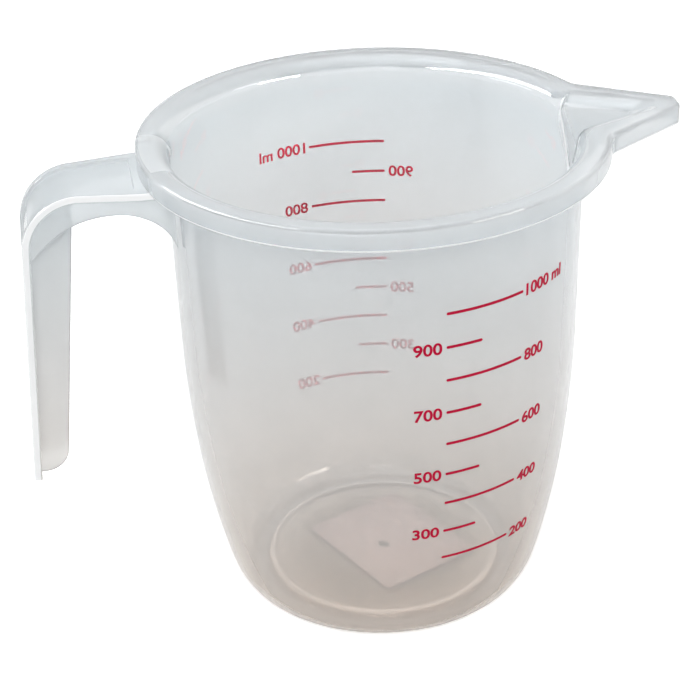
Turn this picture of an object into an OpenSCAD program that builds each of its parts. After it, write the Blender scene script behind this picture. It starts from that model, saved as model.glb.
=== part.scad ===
// One-litre measuring jug, moulded in translucent plastic, with printed graduations.
// The jug stands on its foot at z = 0. Its axis is Z, the spout points to +X and the grip to -X.

/* [Bowl] */
// Radius at which the flat foot ends and the heel begins
foot_r = 40.2; // [37:0.1:44]
// Radius of the heel arc, next to the foot
heel_r = 6.3; // [4:0.1:9]
// Radius of the arc above the heel
bilge_r = 23.2; // [16:0.1:30]
// Radius of the long arc of the lower wall
belly_r = 255; // [200:1:320]
// Radius of the long arc of the upper wall
flank_r = 360; // [300:1:420]
// Height of the rim above the table
jug_h = 142.9; // [130:0.1:160]
// Thickness of the moulded wall
wall = 1.5; // [1.2:0.1:2.2]
// Thickness of the raised floor
floor_t = 1.6; // [1.2:0.1:2.4]
// Radius of the recess under the floor
recess_r = 35.9; // [30:0.1:37]
// Depth of the recess under the floor
recess_h = 1.7; // [1:0.1:2.5]
// Width of the slanting side of the recess
recess_slant = 1.2; // [0.6:0.1:2]
// Radius of the injection gate stub under the floor
gate_r = 1.8; // [1.2:0.1:2.4]
// Height of the gate stub
gate_h = 0.6; // [0.4:0.1:0.9]

/* [Rim] */
// Width of the rim flange outside the wall
rim_w = 7.7; // [6:0.1:10]
// Thickness of the rim flange
rim_t = 1.7; // [1.4:0.1:2]
// Height of the skirt, from the top of the rim to its lower edge
skirt_h = 6.4; // [5:0.1:8]
// Thickness of the skirt
skirt_t = 1.5; // [1.2:0.1:1.8]
// Radius of the rim's outer top corner
rim_round = 1; // [0.5:0.1:1.3]

/* [Spout] */
// Reach of the spout's tip from the axis
spout_reach = 88.4; // [84:0.1:92]
// Half width of the blunt tip
spout_tip_half = 4.1; // [3:0.1:5]
// Half width of the spout where it leaves the rim
spout_root_half = 21.4; // [19:0.1:24]
// Radius of the two corners of the tip
spout_corner = 2.2; // [1.8:0.1:2.8]
// Half width of the trough at the wall
trough_half = 13.2; // [11:0.1:14]
// Distance of the trough's nose from the axis
trough_reach = 78.9; // [76:0.1:80]
// Radius of the trough's nose
trough_nose = 2.1; // [1.5:0.1:2.6]
// Depth of the trough's bottom below the rim, at the wall
sill_depth = 18.3; // [12:0.1:24]
// Radius of the trough's bottom
sill_r = 1; // [0.6:0.1:1.6]
// Width of the chamfer along the trough's top edge
trough_lip = 2.1; // [1.5:0.1:2.4]

/* [Handle] */
// Distance of the grip's outer face from the axis, level with the centre of the bend
grip_reach = 99.75; // [94:0.05:106]
// Height of the grip's free end above the table
grip_foot = 49; // [40:0.5:70]
// Width of the handle where it leaves the rim
arm_w = 30; // [27:0.1:34]
// Width of the grip
grip_w = 24.4; // [22:0.1:27]
// Outer radius of the bend
bend_r = 16; // [13:0.1:20]
// Outward lean of the grip, in degrees
grip_lean = 3.5; // [1:0.5:6]
// Thickness of the spine plate
spine_t = 2.2; // [1.8:0.1:2.8]
// Thickness of the side ribs
rib_t = 1.8; // [1.4:0.1:2.2]
// Step from the spine's edge in to the arm's ribs
arm_ledge = 0.5; // [0.3:0.1:1]
// Step from the spine's edge in to the grip's ribs
grip_ledge = 4.2; // [3:0.1:5]
// Depth of the grip, level with the centre of the bend
grip_depth = 13.5; // [12:0.1:16]
// Depth of the grip at its free end
grip_foot_depth = 9.9; // [8.5:0.1:12]
// Radius of the ribs' lower corner
grip_corner = 7; // [4:0.1:7.5]
// Distance of the arch's crown from the axis
crown_reach = 72.4; // [70:0.1:75]
// Height of the ribs at the arch's crown, spine included
crown_depth = 6.1; // [5:0.1:8]
// Radius of the arch on the bowl's side
arch_r = 15.2; // [13:0.1:17]
// Slope, from upright, of the arch's foot against the wall
arch_foot_angle = 20; // [12:1:30]
// Radius of the arch on the grip's side
gusset_r = 32; // [29:0.1:35]
// Width of the rails beside the panel
rail_w = 3; // [2.4:0.1:3.6]
// Depth of the panel between the rails
panel_d = 0.9; // [0.5:0.1:1.1]
// Radius of the panel's corners
panel_corner = 2; // [1:0.1:3]
// Distance of the panel's upper end from the rim
panel_margin = 1.5; // [1:0.1:3]
// Distance of the panel's lower end from the grip's free end
panel_foot_margin = 3; // [1:0.1:6]

/* [Print] */
// Number of graduations in each scale
mark_count = 9; // [3:1:9]
// Height of the front scale's top graduation, 1000 ml
mark_top = 113.25; // [108:0.05:116]
// How much higher the back scale is printed than the front one
back_rise = 1.7; // [0:0.1:3]
// Distance between graduations
mark_pitch = 10.05; // [8:0.05:10.5]
// Thickness of a printed line
mark_w = 0.75; // [0.5:0.05:1.2]
// Angle covered by a long line
long_mark_angle = 23; // [15:0.5:30]
// Angle covered by a short line
short_mark_angle = 9.6; // [6:0.1:14]
// Angle from the spout to the left ends of the front scale
front_scale = -82.2; // [-100:0.1:-70]
// Angle from the spout to the left ends of the back scale
back_scale = 76.6; // [70:0.1:95]
// Thickness of the ink
ink_t = 0.1; // [0.05:0.01:0.2]

/* [Label] */
// Length of the paper label
label_l = 41.5; // [30:0.1:46]
// Width of the paper label
label_w = 34; // [24:0.1:38]
// Thickness of the paper
label_t = 0.15; // [0.1:0.01:0.3]
// Angle of the label's long side from the spout
label_turn = -64; // [-90:1:90]
// Offset of the label's centre towards the spout
label_x = 3.2; // [-2:0.1:4]
// Offset of the label's centre across the jug
label_y = 2.9; // [-4:0.1:4]

/* [Hidden] */
$fn = 96;
hull_fn = 32;
arc_steps = 8;
// Volume at the top graduation, and between two graduations, in ml
top_volume = 1000;
volume_step = 100;
// Slopes of the wall, from the table, at the ends of its four arcs
wall_turns = [0, 59, 74.8, 82.8, 89.17];
wall_radii = [heel_r, bilge_r, belly_r, flank_r];
// Overrun of cuts past the faces that they open
over = 1;
// Clearance between the label's hole and the gate stub
gate_gap = 0.2;

last_arc = len(wall_radii) - 1;
rim_r = wall_r(0, jug_h) + rim_w;
rim_under = jug_h - rim_t;
skirt_low = jug_h - skirt_h;
bend_centre = [bend_r - grip_reach, skirt_low - bend_r];
trough_x = wall_r(wall, jug_h);
nose_x = trough_reach - trough_nose;
rib_low_x = grip_x(grip_foot) + grip_foot_depth;
rib_slope = (grip_x(bend_centre.y) + grip_depth - rib_low_x) / (bend_centre.y - grip_foot);
rib_tilt = atan(rib_slope);
panel_half = grip_w / 2 - rail_w;

marks = [for (i = [0:mark_count - 1]) i];

plastic = [0.86, 0.88, 0.89, 0.8];
ink = [0.72, 0.12, 0.24];
paper = [0.93, 0.91, 0.90];

function mark_name(side, i) = str(side, "_mark_", top_volume - volume_step * i);

// Unit vector square to a wall of the given slope, pointing out of the jug
function out_of(slope) = [sin(slope), -cos(slope)];

// Centre of wall arc i: each arc starts square to the end of the one below
function arc_centre(i) = i == 0
    ? [foot_r, heel_r]
    : arc_centre(i - 1) + (wall_radii[i - 1] - wall_radii[i]) * out_of(wall_turns[i]);

// Points of wall arc i, moved in by inset
function arc_points(i, inset) = [
    for (k = [0:arc_steps - 1])
        let (slope = wall_turns[i] + (wall_turns[i + 1] - wall_turns[i]) * k / arc_steps)
        arc_centre(i) + (wall_radii[i] - inset) * out_of(slope)];

// Where the top arc ends and the straight draft begins, moved in by inset
function draft_start(inset) = arc_centre(last_arc) + (flank_r - inset) * out_of(wall_turns[last_arc + 1]);

// Radius of the straight upper wall at height z, moved in by inset
function wall_r(inset, z) =
    draft_start(inset).x + (z - draft_start(inset).y) / tan(wall_turns[last_arc + 1]);

// The whole wall from the foot to height z, moved in by inset
function wall_line(inset, z) = concat(
    [for (i = [0:last_arc]) each arc_points(i, inset)],
    [draft_start(inset), [wall_r(inset, z), z]]);

// Everything inside the wall up to height z, moved in by inset
module wall_form(inset, z) {
    rotate_extrude() polygon(concat([[0, z], [0, inset]], wall_line(inset, z)));
}

module bowl_section() {
    step_len = norm([recess_slant, recess_h]);
    // The floor's step runs parallel to the recess's, a wall's thickness away
    shift = wall * [recess_h, recess_slant] / step_len;
    rise = (wall - shift.y) / recess_h;
    fall = (recess_h + floor_t - shift.y) / recess_h;
    outer = wall_line(0, rim_under);
    inner = wall_line(wall, rim_under);
    polygon(concat(
        [[0, recess_h], [recess_r - recess_slant, recess_h], [recess_r, 0]],
        outer,
        [for (i = [len(inner) - 1:-1:0]) inner[i]],
        [[recess_r + shift.x - recess_slant * rise, wall],
         [recess_r + shift.x - recess_slant * fall, recess_h + floor_t],
         [0, recess_h + floor_t]]));
}

module bowl() {
    color(plastic) {
        difference() {
            rotate_extrude() bowl_section();
            trough_form(wall);
        }
        translate([0, 0, recess_h - gate_h]) cylinder(r = gate_r, h = gate_h);
    }
}

// Rim flange and skirt in section, with a rounded lip inside and a rounded edge below
module rim_section() {
    inner_r = wall_r(wall, rim_under);
    difference() {
        union() {
            translate([inner_r, rim_under]) square([rim_r - rim_round - inner_r, rim_t]);
            translate([inner_r + rim_t, rim_under]) square([rim_r - inner_r - rim_t, rim_t - rim_round]);
            translate([rim_r - rim_round, jug_h - rim_round]) circle(r = rim_round);
            translate([rim_r - skirt_t, skirt_low + skirt_t / 2])
                square([skirt_t, skirt_h - skirt_t / 2 - rim_round]);
            translate([rim_r - skirt_t / 2, skirt_low + skirt_t / 2]) circle(r = skirt_t / 2);
        }
        difference() {
            translate([inner_r - over, rim_under]) square([over + rim_t, rim_t + over]);
            translate([inner_r + rim_t, rim_under]) circle(r = rim_t);
        }
    }
}

module rim_ring() {
    rotate_extrude() rim_section();
}

module rim_flange() {
    color(plastic) difference() {
        rim_ring();
        trough_form(wall);
        lip_form();
        // Under the spout the flange has no skirt
        translate([0, 0, skirt_low - over]) linear_extrude(rim_under - skirt_low + over) intersection() {
            spout_plan(skirt_t);
            translate([rim_r / 2, -rim_r]) square([rim_r, 2 * rim_r]);
        }
    }
}

// Outline of the spout seen from above, moved in by inset
module spout_plan(inset) {
    root_x = sqrt(pow(rim_r, 2) - pow(spout_root_half, 2)) - spout_corner;
    hull() for (side = [-1, 1]) {
        translate([spout_reach - spout_corner, side * (spout_tip_half - spout_corner)])
            circle(r = spout_corner - inset);
        translate([root_x, side * (spout_root_half - spout_corner)]) circle(r = spout_corner - inset);
    }
}

// The trough with all its faces moved out by t: it widens from the sill to a rounded triangle at the rim
module trough_form(t) {
    grow = t / cos(atan(trough_half / sill_depth));
    hull() {
        translate([trough_x, 0, jug_h]) cylinder(r = trough_half + grow, h = over, $fn = 2 * hull_fn);
        translate([nose_x, 0, jug_h]) cylinder(r = trough_nose + grow, h = over, $fn = hull_fn);
        translate([trough_x, 0, jug_h - sill_depth + sill_r]) sphere(r = sill_r + t, $fn = hull_fn);
    }
}

// What the chamfer takes off along the trough's top edge, down to the underside of the flange
module lip_form() {
    share = rim_t / sill_depth;
    hull() {
        translate([trough_x, 0, jug_h]) cylinder(r = trough_half + trough_lip, h = over, $fn = 2 * hull_fn);
        translate([nose_x, 0, jug_h]) cylinder(r = trough_nose + trough_lip, h = over, $fn = hull_fn);
        translate([trough_x, 0, rim_under])
            cylinder(r = trough_half * (1 - share), h = over, $fn = 2 * hull_fn);
        translate([nose_x - (nose_x - trough_x) * share, 0, rim_under])
            cylinder(r = trough_nose, h = over, $fn = hull_fn);
    }
}

module pour_spout() {
    color(plastic) difference() {
        union() {
            difference() {
                translate([0, 0, skirt_low]) linear_extrude(skirt_h) spout_plan(0);
                translate([0, 0, skirt_low - over])
                    linear_extrude(rim_under - skirt_low + over) spout_plan(skirt_t);
                cylinder(r = rim_r, h = jug_h + over);
            }
            intersection() {
                trough_form(wall);
                cylinder(r = spout_reach, h = jug_h);
            }
        }
        trough_form(0);
        lip_form();
        wall_form(wall, jug_h + over);
    }
}

// Height-dependent place of the grip's outer face
function grip_x(z) = bend_centre.x - (bend_r - (z - bend_centre.y) * sin(grip_lean)) / cos(grip_lean);

// Everything inside the handle's outer face, seen from the side, moved in by inset
module grip_form(inset) {
    r = bend_r - inset;
    corner = bend_centre + r * [-cos(grip_lean), sin(grip_lean)];
    polygon([
        [0, bend_centre.y + r],
        [bend_centre.x, bend_centre.y + r],
        bend_centre,
        corner,
        [corner.x - (corner.y - grip_foot) * tan(grip_lean), grip_foot],
        [0, grip_foot]]);
    translate(bend_centre) circle(r = r);
}

// Outline of the handle seen from above, moved in by inset
module handle_plan(inset) {
    a = arm_w / 2 - inset;
    g = grip_w / 2 - inset;
    far = -grip_reach - grip_depth;
    polygon([
        [0, a], [-rim_r, a], [bend_centre.x, g], [far, g],
        [far, -g], [bend_centre.x, -g], [-rim_r, -a], [0, -a]]);
}

// Stands a side outline up and gives it a width across the jug
module across(width) {
    rotate([90, 0, 0]) linear_extrude(width, center = true) children();
}

// The open space under the arm's arch, seen from the side
module arch_gap() {
    crown = [-crown_reach, skirt_low - crown_depth];
    toward_foot = [sin(arch_foot_angle), -cos(arch_foot_angle)];
    foot = crown - [0, arch_r] + arch_r * [cos(arch_foot_angle), sin(arch_foot_angle)];
    // On the bowl's side the arc runs out in a straight foot that meets the wall
    intersection() {
        translate(crown - [0, arch_r]) circle(r = arch_r);
        translate([crown.x, 0]) square([crown_reach, jug_h]);
    }
    polygon([[crown.x, 0], [crown.x, crown.y - arch_r], foot, foot + 2 * arch_r * toward_foot, [0, 0]]);
    // On the grip's side the arc runs out in the spine
    intersection() {
        translate(crown - [0, gusset_r]) circle(r = gusset_r);
        translate([crown.x - gusset_r, 0]) square([gusset_r, jug_h]);
    }
    translate([crown.x - 2 * gusset_r, 0]) square([2 * gusset_r, crown.y - gusset_r]);
}

// The grip's ribs, seen from the side, with a straight free edge and a rounded lower corner
module grip_rib() {
    c = [rib_low_x + grip_corner * rib_slope - grip_corner / cos(rib_tilt), grip_foot + grip_corner];
    intersection() {
        grip_form(spine_t);
        union() {
            polygon([
                [-grip_reach - grip_depth, grip_foot],
                [c.x, grip_foot],
                c,
                c + grip_corner * [cos(rib_tilt), -sin(rib_tilt)],
                [rib_low_x + (skirt_low - grip_foot) * rib_slope, skirt_low],
                [-grip_reach - grip_depth, skirt_low]]);
            translate(c) circle(r = grip_corner);
        }
    }
}

// The shallow panel sunk into the outer face, on the arm, round the bend and down the grip
module panel_cut() {
    end_x = -rim_r - panel_margin;
    half_root = arm_w / 2 - rail_w;
    far = -grip_reach - grip_depth;
    low = grip_foot + panel_foot_margin;
    intersection() {
        across(arm_w) difference() {
            translate([far, low]) square([-far, jug_h - low]);
            grip_form(panel_d);
        }
        translate([0, 0, grip_foot]) linear_extrude(jug_h) {
            intersection() {
                handle_plan(rail_w);
                translate([far, -arm_w]) square([end_x - panel_corner - far, 2 * arm_w]);
            }
            translate([end_x - panel_corner - over, panel_corner - half_root])
                square([panel_corner + over, 2 * (half_root - panel_corner)]);
            for (side = [-1, 1]) translate([end_x - panel_corner, side * (half_root - panel_corner)])
                circle(r = panel_corner);
        }
    }
}

module handle() {
    color(plastic) difference() {
        union() {
            intersection() {
                across(arm_w) difference() {
                    grip_form(0);
                    grip_form(spine_t);
                }
                translate([0, 0, grip_foot]) linear_extrude(jug_h) handle_plan(0);
            }
            intersection() {
                across(arm_w) difference() {
                    grip_form(spine_t);
                    arch_gap();
                }
                translate([0, 0, grip_foot]) linear_extrude(jug_h) difference() {
                    handle_plan(arm_ledge);
                    handle_plan(arm_ledge + rib_t);
                }
            }
            for (side = [-1, 1])
                translate([0, side * (grip_w / 2 - grip_ledge - rib_t / 2), 0]) across(rib_t) grip_rib();
            // Solid root between the wall and the skirt
            translate([0, 0, skirt_low]) linear_extrude(rim_under - skirt_low) intersection() {
                handle_plan(arm_ledge);
                circle(r = rim_r - skirt_t);
            }
        }
        panel_cut();
        wall_form(0, jug_h);
        rim_ring();
    }
}

// One printed line on the wall: side is the angle of its left end, top the height of the scale's
// first line, and i counts down from there
module graduation(side, top, i) {
    span = i % 2 == 0 ? long_mark_angle : short_mark_angle;
    color(ink) rotate([0, 0, side]) rotate_extrude(angle = span) intersection() {
        difference() {
            polygon(concat([[0, jug_h]], [[0, 0]], wall_line(-ink_t, jug_h)));
            polygon(concat([[0, jug_h]], [[0, 0]], wall_line(0, jug_h)));
        }
        translate([0, top - i * mark_pitch - mark_w / 2]) square([wall_r(0, jug_h) + over, mark_w]);
    }
}

module base_label() {
    color(paper) difference() {
        translate([label_x, label_y, recess_h - label_t / 2]) rotate([0, 0, label_turn])
            cube([label_l, label_w, label_t], center = true);
        cylinder(r = gate_r + gate_gap, h = recess_h + over);
    }
}

bowl();
rim_flange();
pour_spout();
handle();
for (i = marks) {
    graduation(front_scale, mark_top, i);
    graduation(back_scale, mark_top + back_rise, i);
}
base_label();
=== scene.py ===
import math
import bmesh
import bpy
from mathutils import Matrix, Vector


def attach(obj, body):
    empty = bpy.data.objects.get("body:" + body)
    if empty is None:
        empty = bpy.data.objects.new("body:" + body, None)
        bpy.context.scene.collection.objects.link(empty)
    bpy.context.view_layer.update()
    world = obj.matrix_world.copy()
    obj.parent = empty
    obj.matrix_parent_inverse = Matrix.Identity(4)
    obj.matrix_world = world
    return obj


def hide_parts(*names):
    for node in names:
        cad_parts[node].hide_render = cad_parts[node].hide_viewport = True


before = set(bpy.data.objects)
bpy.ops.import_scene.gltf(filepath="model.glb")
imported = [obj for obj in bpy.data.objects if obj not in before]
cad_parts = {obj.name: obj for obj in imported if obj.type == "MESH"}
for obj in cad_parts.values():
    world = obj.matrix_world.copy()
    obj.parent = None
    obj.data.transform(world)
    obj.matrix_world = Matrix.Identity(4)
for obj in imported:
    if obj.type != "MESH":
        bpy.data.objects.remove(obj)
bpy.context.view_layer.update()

mm = 0.001
print("frame loaded:", len(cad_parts), "nodes")

photoCamera = {
    "place": (-87.6, -472.6, 339.6),   # mm, in the jug's frame
    "yaw": 9.49, "pitch": 29.06, "roll": -1.86,
    "focalPixels": 1852, "frameWidth": 700,
}


def makeCamera(s):
    yaw, pitch, roll = (math.radians(s[k]) for k in ("yaw", "pitch", "roll"))
    ahead = Vector((math.sin(yaw) * math.cos(pitch), math.cos(yaw) * math.cos(pitch), -math.sin(pitch)))
    level = Vector((math.cos(yaw), -math.sin(yaw), 0))
    upright = level.cross(ahead)
    right = level * math.cos(roll) + upright * math.sin(roll)
    up = upright * math.cos(roll) - level * math.sin(roll)
    data = bpy.data.cameras.new("photoCamera")
    data.sensor_width = 36
    data.lens = 36 * s["focalPixels"] / s["frameWidth"]
    data.clip_start, data.clip_end = 0.01, 20
    cam = bpy.data.objects.new("photoCamera", data)
    turned = Matrix((right, up, -ahead)).transposed().to_4x4()
    cam.matrix_world = Matrix.Translation(Vector(s["place"]) * mm) @ turned
    bpy.context.scene.collection.objects.link(cam)
    bpy.context.scene.camera = cam


makeCamera(photoCamera)

# measures shared by the pieces, in mm
bowl = {
    "footRadius": 40.2, "arcRadii": (6.3, 23.2, 255, 360), "arcTurns": (0, 59, 74.8, 82.8, 89.17),
    "height": 142.9, "wall": 1.5, "floor": 1.6, "recessRadius": 35.9, "recessDepth": 1.7, "recessStep": 1.2,
    "gateRadius": 1.8, "gateHeight": 0.6, "gateBevel": 0.15,
}
# the wall's highest arc and where it ends
lastArc, draftTurn = len(bowl["arcRadii"]) - 1, bowl["arcTurns"][-1]
rim = {
    "radius": 66.36, "thick": 1.7, "skirt": 6.4, "skirtThick": 1.5, "topRound": 1.0, "fillet": 0.6,
    "flare": 5.5,   # radius with which the wall turns over into the flange
    "lipLine": 3.0,   # how far down the flange's frosted top reaches into that turn
}
spout = {
    "reach": 88.4, "tipHalf": 4.1, "rootHalf": 21.4, "corner": 2.2, "kink": 1.5,
    "sector": 40,   # degrees from its middle, beyond which the outline is the plain rim
    # the trough between its wide end, inside the bowl, and its nose; it closes at valleyEnd
    "troughStart": 50.0, "troughHalf": 13.3, "troughReach": 78.9, "noseRadius": 2.1,
    "valleyEnd": 119.3, "valleyRadius": 1.0, "lip": 4.5,
}
rimUnder = bowl["height"] - rim["thick"]
skirtLow = bowl["height"] - rim["skirt"]


def slopeOut(deg):
    return math.sin(math.radians(deg)), -math.cos(math.radians(deg))


def wallCentres():
    centres = [(bowl["footRadius"], bowl["arcRadii"][0])]
    for i in range(1, lastArc + 1):
        dx, dz = slopeOut(bowl["arcTurns"][i])
        step = bowl["arcRadii"][i - 1] - bowl["arcRadii"][i]
        centres.append((centres[-1][0] + step * dx, centres[-1][1] + step * dz))
    return centres


arcCentres = wallCentres()


def wallPoint(i, deg, inset):
    dx, dz = slopeOut(deg)
    r = bowl["arcRadii"][i] - inset
    return arcCentres[i][0] + r * dx, arcCentres[i][1] + r * dz


def draftRadius(z, inset=0.0):
    x, z0 = wallPoint(lastArc, draftTurn, inset)
    return x + (z - z0) / math.tan(math.radians(draftTurn))


def wallRadius(z, inset=0.0):
    for i, (cx, cz) in enumerate(arcCentres):
        r = bowl["arcRadii"][i] - inset
        if z <= cz + r * slopeOut(bowl["arcTurns"][i + 1])[1]:
            return cx + math.sqrt(max(r * r - (z - cz) ** 2, 0))
    return draftRadius(z, inset)


def meshObject(name, verts, faces, scale=mm):
    mesh = bpy.data.meshes.new(name)
    mesh.from_pydata([Vector(v) * scale for v in verts], [], faces)
    mesh.validate()
    obj = bpy.data.objects.new(name, mesh)
    bpy.context.scene.collection.objects.link(obj)
    return obj


skins = ("frostedOuter", "clearInner", "paintedEdgeHighlight", "milkyRoot", "gripFrost", "paintedLightRing",
         "shadedTrough", "clearFloor")
outerSkin, innerSkin, edgeHighlightSkin, rootSkin, gripSkin, lightRingSkin, troughShadeSkin, floorSkin = range(len(skins))


def giveSkins(obj):
    for name in skins:
        obj.data.materials.append(bpy.data.materials.get(name) or bpy.data.materials.new(name))


def tidyNormals(obj):
    bm = bmesh.new()
    bm.from_mesh(obj.data)
    bmesh.ops.recalc_face_normals(bm, faces=bm.faces)
    bm.to_mesh(obj.data)
    bm.free()


def smoothByAngle(obj, degrees):
    for p in obj.data.polygons:
        p.use_smooth = True
    obj.data.set_sharp_from_angle(angle=math.radians(degrees))


# bowl, rim and spout are one sheet of rows and columns
bodySheet = {
    # columns, in degrees from the spout: fine at its middle, wide beside it
    "wideStep": 2.0, "spoutStep": 0.5, "spoutSpan": 26.0, "fineStep": 0.25, "fineSpan": 3.0,
    "arcRows": (8, 12, 14, 14), "turnRows": 18, "lowRows": 12, "roundRows": 5, "lipRows": 12,
    "splitLow": 112.0,   # height in mm at which the wall's straight rows begin
    "footEdge": 38.2, "ceilingRings": (8, 16, 24, 30), "floorRings": (28, 18, 8, 2),   # radii in mm
    "probe": 0.25, "halvings": 20,   # how the crease between wall and trough is searched
    "creaseHalf": 0.3, "creaseTop": 1.5,   # mm: half the crease's width, and how near the top it still gets the painted edge highlight
    "creaseFade": 8.0,   # degrees over which the rows settle beside the trough
    "foldStrips": 2,   # strips with the painted edge highlight on each side of the outer fold
    "troughFrost": -0.03,   # azimuth in radians that parts the trough's frosted side from its shaded one
    "rootBack": 10.5, "rootFront": 14.0,   # degrees on each side of the handle where the flange is milky
    "smooth": 34,   # degrees: sharper edges stay sharp
}


def rayCircle(angle, cx, r):
    # far crossing of the ray from the axis with a circle centred on (cx, 0)
    s, c = math.sin(angle), math.cos(angle)
    d = r * r - (cx * s) ** 2
    return cx * c + math.sqrt(d) if d > 0 else 0.0


def capsuleRadius(angle, x0, r0, x1, r1):
    # outline round two circles on the X axis, the far one smaller, seen from the jug's axis
    a = abs(angle)
    if r0 <= 0 or a > math.pi / 2:
        return 0.0
    far = max(rayCircle(a, x0, r0), rayCircle(a, x1, r1))
    lean = math.asin(min(max((r0 - r1) / (x1 - x0), -1), 1))
    nx, ny = math.sin(lean), math.cos(lean)
    across = nx * math.cos(a) + ny * math.sin(a)
    if across > 0:
        r = (nx * x0 + r0) / across
        x, y = r * math.cos(a), r * math.sin(a)
        along = (x - x0) * ny - y * nx
        if 0 <= along <= (x1 - x0) * math.cos(lean) + 1e-9:
            far = max(far, r)
    return far


def lerp(a, b, share):
    return a + (b - a) * share


def turnOut(z, radius, high):
    # how far a rounded edge has moved outwards at height z, when it lies flat at the height given
    rise = z - (high - radius)
    return radius - math.sqrt(max(radius * radius - rise * rise, 0)) if rise > 0 else 0.0


def troughRadius(angle, z, grow=0.0, lip=0.0):
    # the trough narrows evenly from the rim down to a point inside the bowl
    s, top = spout, bowl["height"]
    share = (top - z) / (top - s["valleyEnd"])
    if share >= 1:
        return 0.0
    lean = math.atan((s["troughHalf"] - s["valleyRadius"]) / (top - s["valleyEnd"]))
    offset = grow / math.cos(lean) + lip
    wide = lerp(s["troughHalf"], s["valleyRadius"], share) + offset
    nose = lerp(s["noseRadius"], s["valleyRadius"], share) + offset
    noseAt = lerp(s["troughReach"] - s["noseRadius"], s["troughStart"], share)
    noseAt = max(noseAt, s["troughStart"] + 0.01)
    return capsuleRadius(angle, s["troughStart"], wide, noseAt, min(nose, wide))


def insideWall(z):
    return draftRadius(z, bowl["wall"]) + turnOut(z, rim["flare"], bowl["height"])


def insideTrough(angle, z):
    return troughRadius(angle, z, 0, turnOut(z, spout["lip"], bowl["height"]))


def outsideWall(z):
    return draftRadius(z) + turnOut(z, rim["flare"] - rim["thick"], rimUnder)


def outsideTrough(angle, z):
    return troughRadius(angle, z, bowl["wall"], turnOut(z, spout["lip"] - rim["thick"], rimUnder))


def outlineRadius(angle, inset):
    # rim circle joined to the spout's pointed outline, with a small fillet at the roots
    a, ring, c = abs(angle), rim["radius"] - inset, spout["corner"]
    if a > math.radians(spout["sector"]):
        return ring
    tip = (spout["reach"] - c, spout["tipHalf"] - c)
    root = (math.sqrt(rim["radius"] ** 2 - spout["rootHalf"] ** 2) - c, spout["rootHalf"] - c)
    dx, dy = tip[0] - root[0], tip[1] - root[1]
    size = math.hypot(dx, dy)
    nx, ny = -dy / size, dx / size
    r = c - inset
    side = (nx * tip[0] + ny * tip[1] + r) / (nx * math.cos(a) + ny * math.sin(a))
    point = side * math.cos(a), side * math.sin(a)
    if (point[0] - tip[0]) * dx + (point[1] - tip[1]) * dy > 0:   # past the corner's start
        flat = (tip[0] + r) / math.cos(a)
        if flat * math.sin(a) <= tip[1]:
            side = flat
        else:
            along = tip[0] * math.cos(a) + tip[1] * math.sin(a)
            off = tip[0] ** 2 + tip[1] ** 2 - along ** 2
            side = along + math.sqrt(max(r * r - off, 0))
    k = spout["kink"]
    near = max(0.0, k - abs(side - ring)) / k
    return max(side, ring) + near * near * k / 4


def bezier(p0, p1, p2, steps):
    return [tuple((1 - t) ** 2 * a + 2 * t * (1 - t) * b + t * t * c for a, b, c in zip(p0, p1, p2))
            for t in (i / steps for i in range(steps + 1))]


def crossing(angle, trough, wallAt, high):
    # lowest height at which the trough's face leaves the wall at this azimuth, or None beside the trough
    z = spout["valleyEnd"]
    while trough(angle, z) <= wallAt(z):
        z += bodySheet["probe"]
        if z > high:
            return None
    low = z - bodySheet["probe"]
    for halving in range(bodySheet["halvings"]):
        mid = (low + z) / 2
        low, z = (low, mid) if trough(angle, mid) > wallAt(mid) else (mid, z)
    return z


def creaseFinder(trough, wallAt, high, calm):
    # beside the trough the crease's row comes back to the height called calm, little by little
    edge, last = 0.0, high
    while True:
        found = crossing(math.radians(edge), trough, wallAt, high)
        if found is None:
            break
        last, edge = found, edge + bodySheet["probe"]

    def height(angle):
        away = abs(math.degrees(angle)) - edge
        found = crossing(angle, trough, wallAt, high) if away < 0 else None
        if found is None:
            found = lerp(last, calm, min(max(away / bodySheet["creaseFade"], 0), 1))
        return min(found, high - 2 * bodySheet["creaseHalf"])
    return height


insideCrease = creaseFinder(insideTrough, insideWall, bowl["height"], bowl["height"] - rim["flare"])
outsideCrease = creaseFinder(outsideTrough, outsideWall, rimUnder, bowl["height"] - rim["flare"])


def turnHeights(high, turn, start, end, count):
    # heights from start down to end, closer together where the edge turns over
    quarter = math.pi / 2

    def along(z):
        depth = max(high - z, 0) / turn
        return math.acos(1 - depth) / quarter if depth < 1 else 1 + (depth - 1) / quarter

    def height(u):
        return high - turn * (1 - math.cos(u * quarter) if u < 1 else 1 + (u - 1) * quarter)
    return [height(lerp(along(start), along(end), k / count)) for k in range(count + 1)]


def skinned(points, skin):
    # points (radius, height), each with the skin of the strip that follows it
    return [(*p, skin) for p in points]


def undersideRows():
    # gate stub, recess, its step and the foot
    ceiling, g = bowl["recessDepth"], bowl["gateRadius"]
    low, bevel = ceiling - bowl["gateHeight"], bowl["gateBevel"]
    flat = [(g * 0.5, low), (g - bevel, low), (g, low + bevel),
            (g, ceiling - 0.05), (g + 0.1, ceiling), (g + 0.6, ceiling)]
    flat += [(r, ceiling) for r in bodySheet["ceilingRings"]]
    inner, edge = bowl["recessRadius"] - bowl["recessStep"], bowl["recessRadius"]
    step = bezier((inner - 0.5, ceiling), (inner, ceiling), (inner + 0.3, ceiling * 0.75), 3)
    step += bezier((edge - 0.3, ceiling * 0.25), (edge, 0), (edge + 0.4, 0), 3)
    step.append((bodySheet["footEdge"], 0.0))
    return skinned(flat + step[:2], floorSkin) + skinned(step[2:], outerSkin)


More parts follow.
